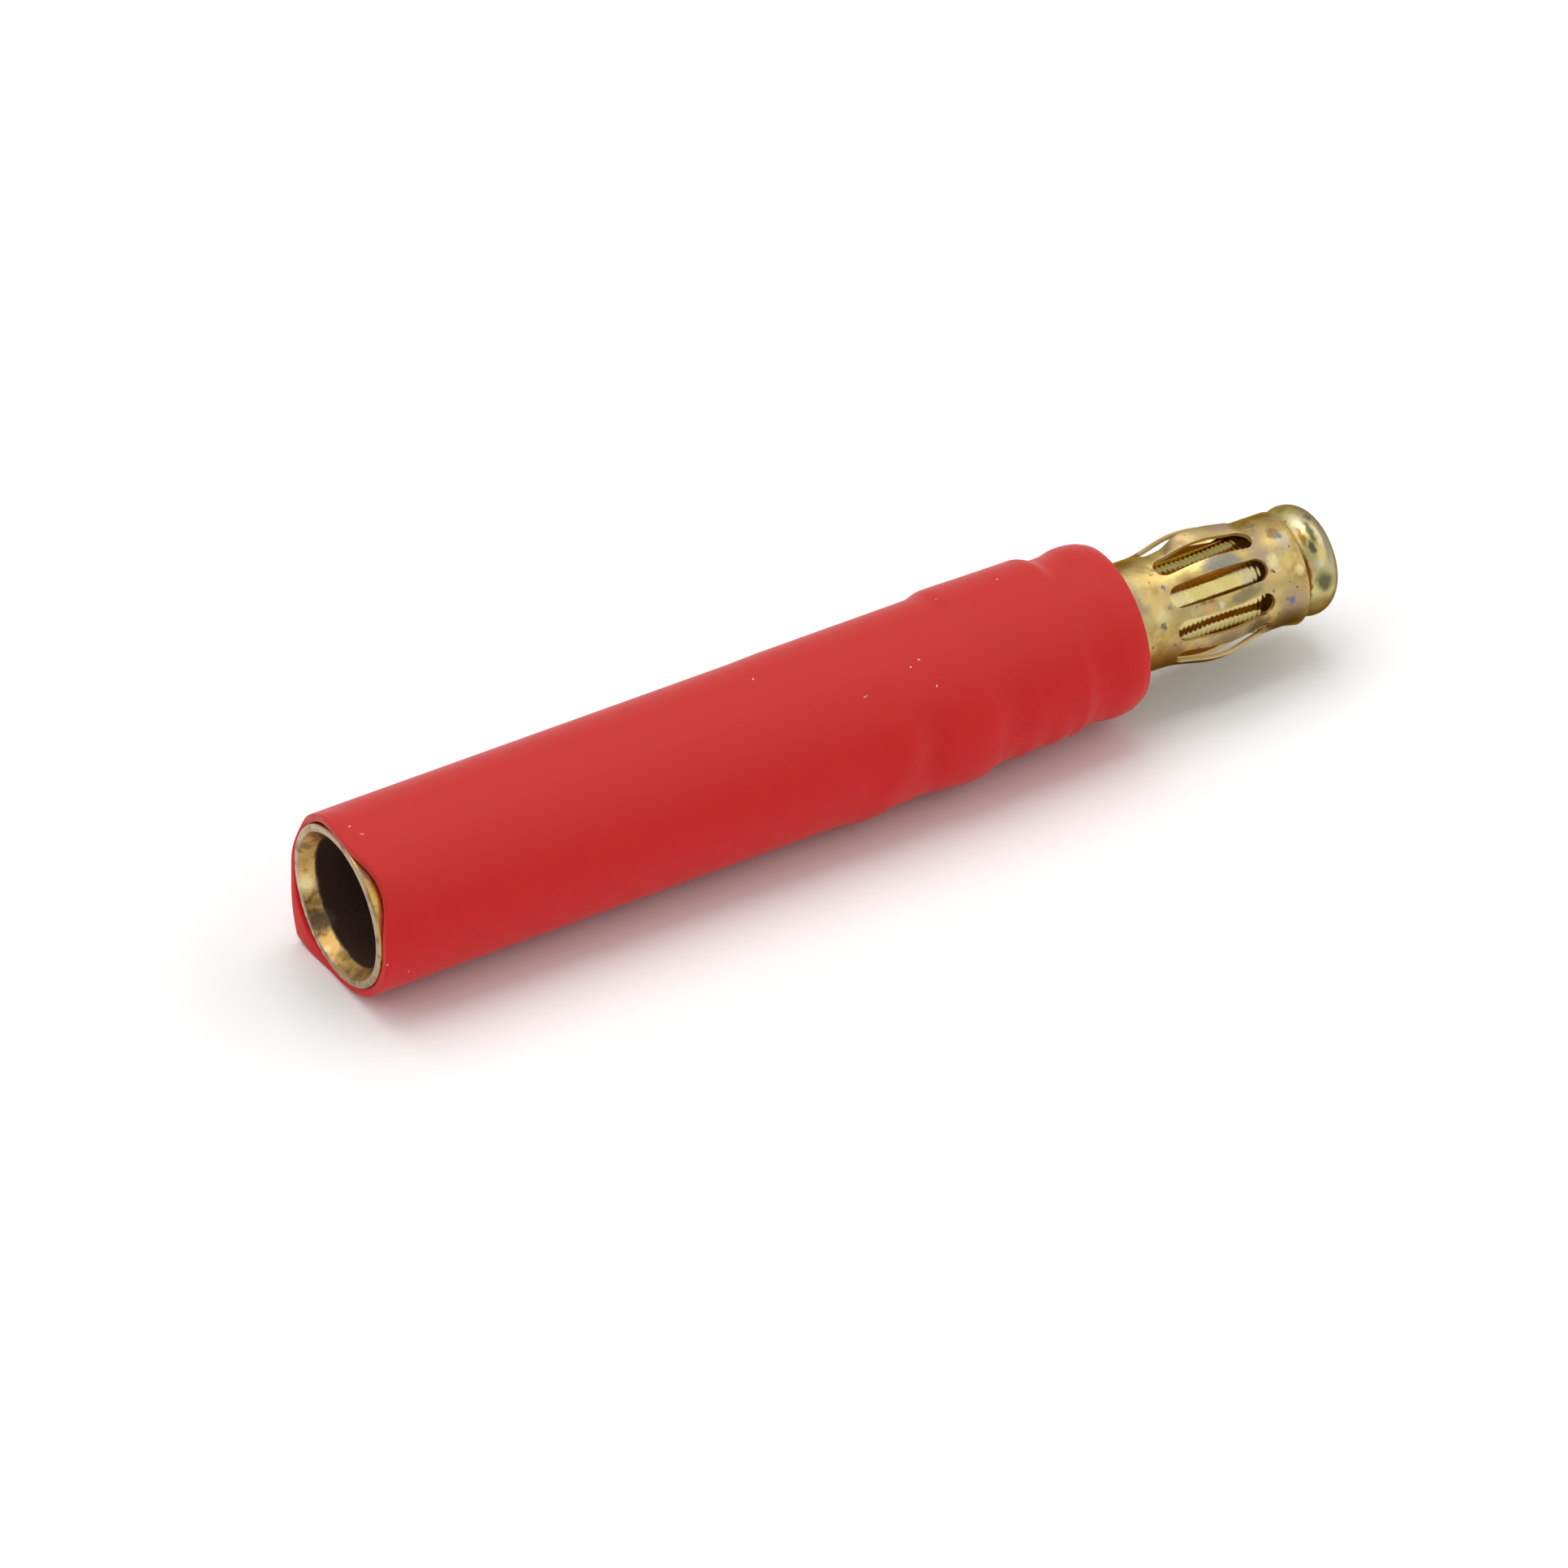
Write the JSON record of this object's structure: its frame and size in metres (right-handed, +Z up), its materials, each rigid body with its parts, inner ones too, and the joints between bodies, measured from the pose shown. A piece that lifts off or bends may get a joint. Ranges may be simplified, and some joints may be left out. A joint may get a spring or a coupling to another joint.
{
  "type": "bullet connector adapter",
  "caption": "Straight round adapter with an open contact socket at one end and a slotted spring plug at the other, crimped end to end inside a red heat-shrink sleeve.",
  "frame": {"origin": "on the surface that the adapter lies on, under the middle of its length", "axes": "+X along the adapter from the socket's mouth to the plug's head, +Z up from the surface"},
  "size_m": [0.0332, 0.0057, 0.0056],
  "materials": {
    "socket_gold": "thin gold plate on turned brass, worn pale on the rim",
    "pin_gold": "thin gold plate on turned brass, tarnished on the head",
    "cage_gold": "gold-plated spring sheet with grey tarnish spots",
    "sleeve_red": "satin red shrunk polyolefin"
  },
  "bodies": {
    "root": {"female_socket": "socket_gold", "male_pin": "pin_gold", "spring_cage": "cage_gold", "shrink_sleeve": "sleeve_red"}
  },
  "joints": []
}
